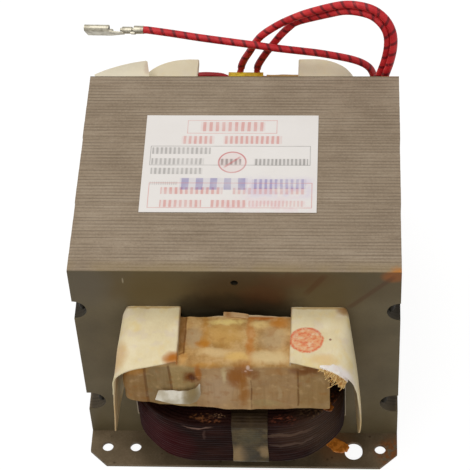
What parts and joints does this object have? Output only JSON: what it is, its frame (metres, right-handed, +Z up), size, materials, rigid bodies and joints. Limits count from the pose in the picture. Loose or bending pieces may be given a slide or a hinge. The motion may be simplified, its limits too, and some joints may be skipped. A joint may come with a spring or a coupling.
{
  "type": "microwave oven transformer",
  "caption": "Welded steel core transformer with two stacked windings, magnetic shunts, paper slot liners, heater leads and a flanged mounting plate.",
  "frame": {"origin": "middle of the mounting plate's underside", "axes": "+Z up through the windings' centre leg, +X to the right along the sheets' width, +Y to the back through the stack, where the leads come out"},
  "size_m": [0.1091, 0.1458, 0.1087],
  "materials": {
    "plate_steel": "dull mild steel sheet, varnished, rusty at one corner",
    "core_steel": "dull silicon steel sheets, dipped in brown varnish",
    "weld_metal": "dull weld bead under varnish",
    "board": "varnished insulating board",
    "primary_enamel": "dark red enamelled wire, side by side",
    "film": "thin clear film, browned by varnish",
    "brown_tape": "glass cloth tape soaked in varnish",
    "shunt_steel": "dull stacked steel strips",
    "secondary_enamel": "fine wire layers under dark varnish",
    "red_sleeve": "red insulation with a black tracer",
    "wrap_paper": "wrapping paper, unevenly soaked in amber varnish",
    "liner_paper": "cream insulating paper, stained at its edges",
    "white_tape": "pale tape, varnished",
    "yellow_tape": "yellow polyester tape",
    "tinned_brass": "tinned brass, bright",
    "tab_brass": "tinned brass, dull",
    "bare_copper": "enamelled copper wire, scraped at its end",
    "label_paper": "white paper with a plain printed layout"
  },
  "bodies": {
    "root": {"mounting_plate": "plate_steel", "i_core": "core_steel", "e_core": "core_steel", "joint_weld_left": "weld_metal", "joint_weld_right": "weld_metal", "stack_weld_left": "weld_metal", "stack_weld_right": "weld_metal", "primary_former": "board", "primary_winding": "primary_enamel", "primary_film_left": "film", "primary_film_right": "film", "primary_tape": "brown_tape", "shunt_left": "shunt_steel", "shunt_right": "shunt_steel", "shunt_paper_left": "board", "shunt_paper_right": "board", "secondary_former": "board", "secondary_winding": "secondary_enamel", "heater_winding": "red_sleeve", "secondary_wrap_front": "wrap_paper", "secondary_wrap_rear": "wrap_paper", "slot_liner_left": "liner_paper", "slot_liner_right": "liner_paper", "liner_top_front_left": "liner_paper", "liner_top_front_right": "liner_paper", "liner_top_rear_left": "liner_paper", "liner_top_rear_right": "liner_paper", "liner_side_front_left": "liner_paper", "liner_side_front_right": "liner_paper", "liner_side_rear_left": "liner_paper", "liner_side_rear_right": "liner_paper", "liner_flap": "liner_paper", "loose_tape_end": "white_tape", "lead_tape": "yellow_tape", "heater_lead_a": "red_sleeve", "heater_lead_b": "red_sleeve", "lead_terminal_a": "tinned_brass", "lead_terminal_b": "tinned_brass", "primary_tab_left": "tab_brass", "primary_tab_right": "tab_brass", "high_voltage_tab": "tab_brass", "tab_tape": "white_tape", "ground_wire": "bare_copper", "label": "label_paper"}
  },
  "joints": []
}
